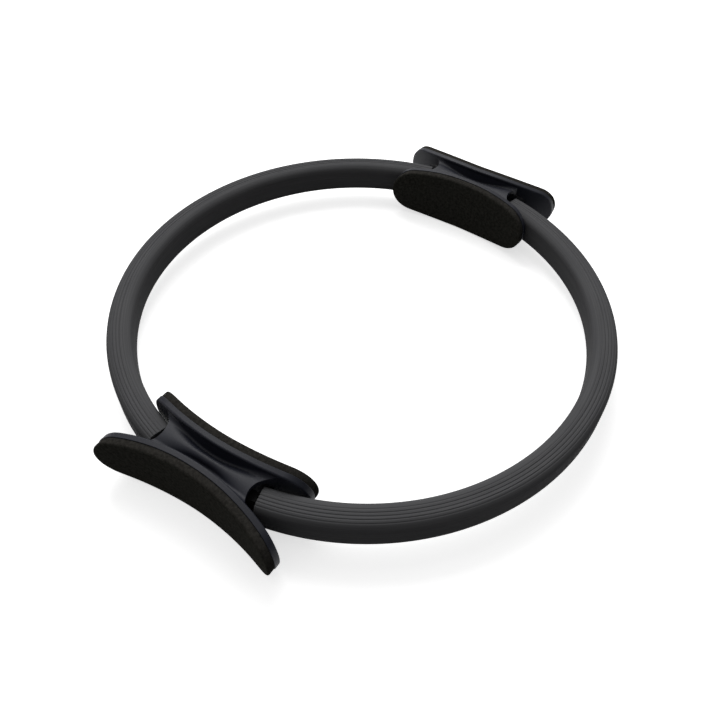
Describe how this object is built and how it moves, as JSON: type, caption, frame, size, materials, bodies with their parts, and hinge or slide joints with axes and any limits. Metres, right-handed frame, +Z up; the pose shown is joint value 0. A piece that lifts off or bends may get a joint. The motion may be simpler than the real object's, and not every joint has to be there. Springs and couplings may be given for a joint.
{
  "type": "pilates ring",
  "caption": "Flexible exercise ring: a springy hoop in a ribbed sleeve with opposite padded handles, squeezed from outside or pushed apart from inside.",
  "frame": {"origin": "middle of the ring, on the surface that it lies on", "axes": "+X from the left handle to the right handle, +Z up out of the ring's plane"},
  "size_m": [0.3858, 0.3532, 0.0445],
  "materials": {
    "handle_plastic": "satin black moulding",
    "pad_foam": "matte closed-cell foam",
    "hoop_sleeve": "semi-matte ribbed extrusion",
    "band_glass_fibre": "black pultruded glass fibre",
    "lug_nylon": "black moulding",
    "screw_steel": "zinc-plated"
  },
  "bodies": {
    "left_handle": {"left_handle_body": "handle_plastic", "left_outer_pad": "pad_foam", "left_inner_pad": "pad_foam", "left_lug_screws": "screw_steel"},
    "right_handle": {"right_handle_body": "handle_plastic", "right_outer_pad": "pad_foam", "right_inner_pad": "pad_foam", "right_lug_screws": "screw_steel"},
    "front_left_arm": {"front_left_sleeve": "hoop_sleeve", "front_left_band": "band_glass_fibre", "front_left_end_lug": "lug_nylon", "front_sleeve_bend": "hoop_sleeve"},
    "front_right_arm": {"front_right_sleeve": "hoop_sleeve", "front_right_band": "band_glass_fibre", "front_right_end_lug": "lug_nylon"},
    "rear_left_arm": {"rear_left_sleeve": "hoop_sleeve", "rear_left_band": "band_glass_fibre", "rear_left_end_lug": "lug_nylon", "rear_sleeve_bend": "hoop_sleeve"},
    "rear_right_arm": {"rear_right_sleeve": "hoop_sleeve", "rear_right_band": "band_glass_fibre", "rear_right_end_lug": "lug_nylon"}
  },
  "joints": [
    {"name": "squeeze", "type": "hinge", "parent": "left_handle", "child": "front_left_arm", "pos_m": [-0.16613, -0.025, 0.02225], "axis": [0, 0, -1], "range_deg": [-1.5, 14]},
    {"name": "front_bend", "type": "hinge", "parent": "front_left_arm", "child": "front_right_arm", "pos_m": [0, -0.168, 0.02225], "axis": [0, 0, 1], "range_deg": [-3, 28], "stiffness_Nm_per_rad": 18.4, "deforming": ["front_sleeve_bend"]},
    {"name": "right_handle_turn", "type": "hinge", "parent": "front_right_arm", "child": "right_handle", "pos_m": [0.16613, -0.025, 0.02225], "axis": [0, 0, -1], "range_deg": [-1.5, 14]},
    {"name": "rear_left_turn", "type": "hinge", "parent": "left_handle", "child": "rear_left_arm", "pos_m": [-0.16613, 0.025, 0.02225], "axis": [0, 0, 1], "range_deg": [-1.5, 14]},
    {"name": "rear_bend", "type": "hinge", "parent": "rear_left_arm", "child": "rear_right_arm", "pos_m": [0, 0.168, 0.02225], "axis": [0, 0, -1], "range_deg": [-3, 28], "stiffness_Nm_per_rad": 18.4, "deforming": ["rear_sleeve_bend"]}
  ],
  "couplings": [
    {"joint": "front_bend", "follows": "squeeze", "ratio": 2},
    {"joint": "right_handle_turn", "follows": "squeeze", "ratio": 1},
    {"joint": "rear_left_turn", "follows": "squeeze", "ratio": 1},
    {"joint": "rear_bend", "follows": "squeeze", "ratio": 2}
  ]
}
